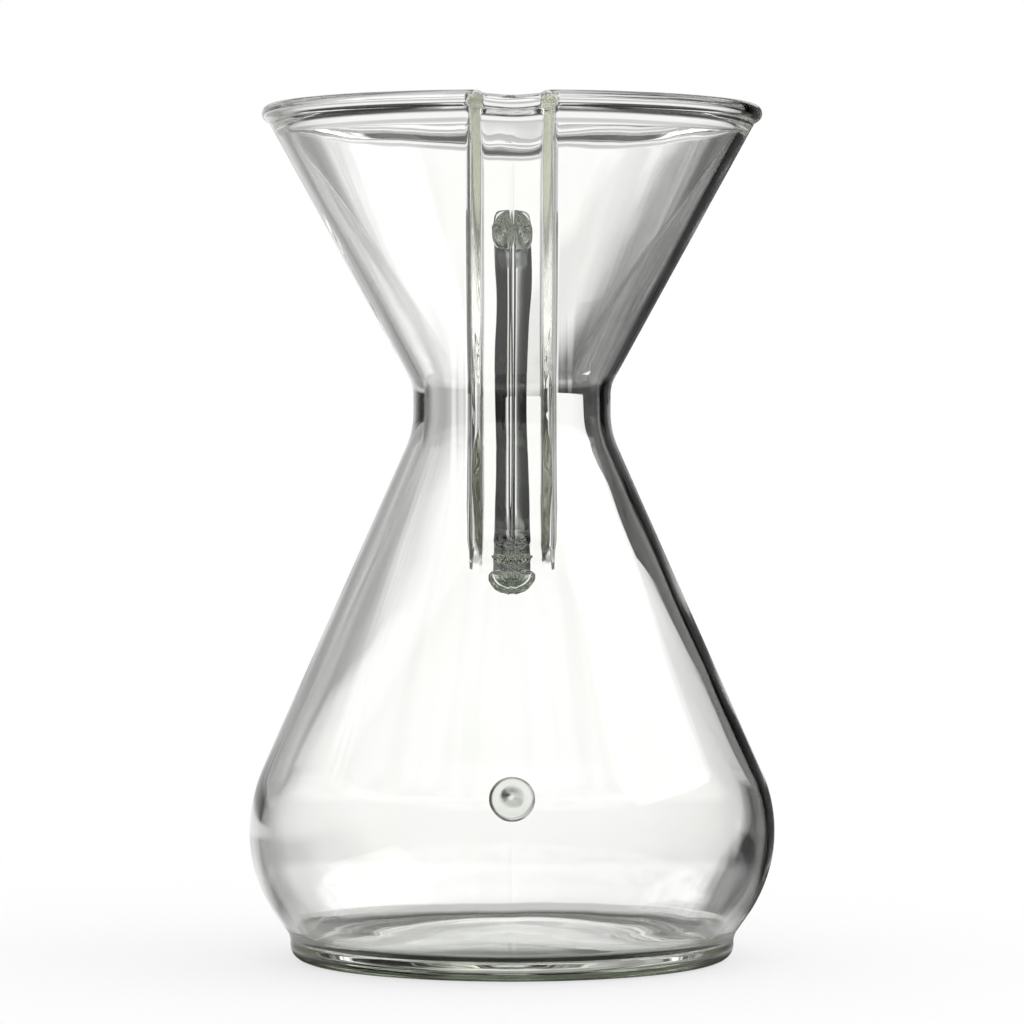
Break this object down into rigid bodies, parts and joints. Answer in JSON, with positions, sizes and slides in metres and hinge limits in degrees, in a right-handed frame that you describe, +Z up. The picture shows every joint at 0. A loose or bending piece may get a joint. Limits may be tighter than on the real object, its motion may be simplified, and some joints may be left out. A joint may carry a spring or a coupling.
{
  "type": "pour-over coffee maker",
  "caption": "Clear glass hourglass pour-over coffee maker with a funnel, a pouring channel, a round flask, a glass rod handle and a half-full button.",
  "frame": {"origin": "on the vessel's axis, in the plane that its foot ring stands on, at the middle of the bounding box's underside", "axes": "+Z up along the vessel's axis; -Y towards the pouring lip, so the handle is on +Y; +X to the right when the pouring channel faces the viewer"},
  "size_m": [0.147, 0.1622, 0.238],
  "materials": {
    "vessel_glass": "clear blown borosilicate glass, fire polished",
    "handle_glass": "clear drawn borosilicate glass rod",
    "weld_glass": "clear borosilicate glass, flame worked",
    "button_glass": "clear borosilicate glass, flame worked"
  },
  "bodies": {
    "root": {"glass_vessel": "vessel_glass", "glass_handle": "handle_glass", "upper_handle_weld": "weld_glass", "lower_handle_weld": "weld_glass", "half_full_button": "button_glass"}
  },
  "joints": []
}
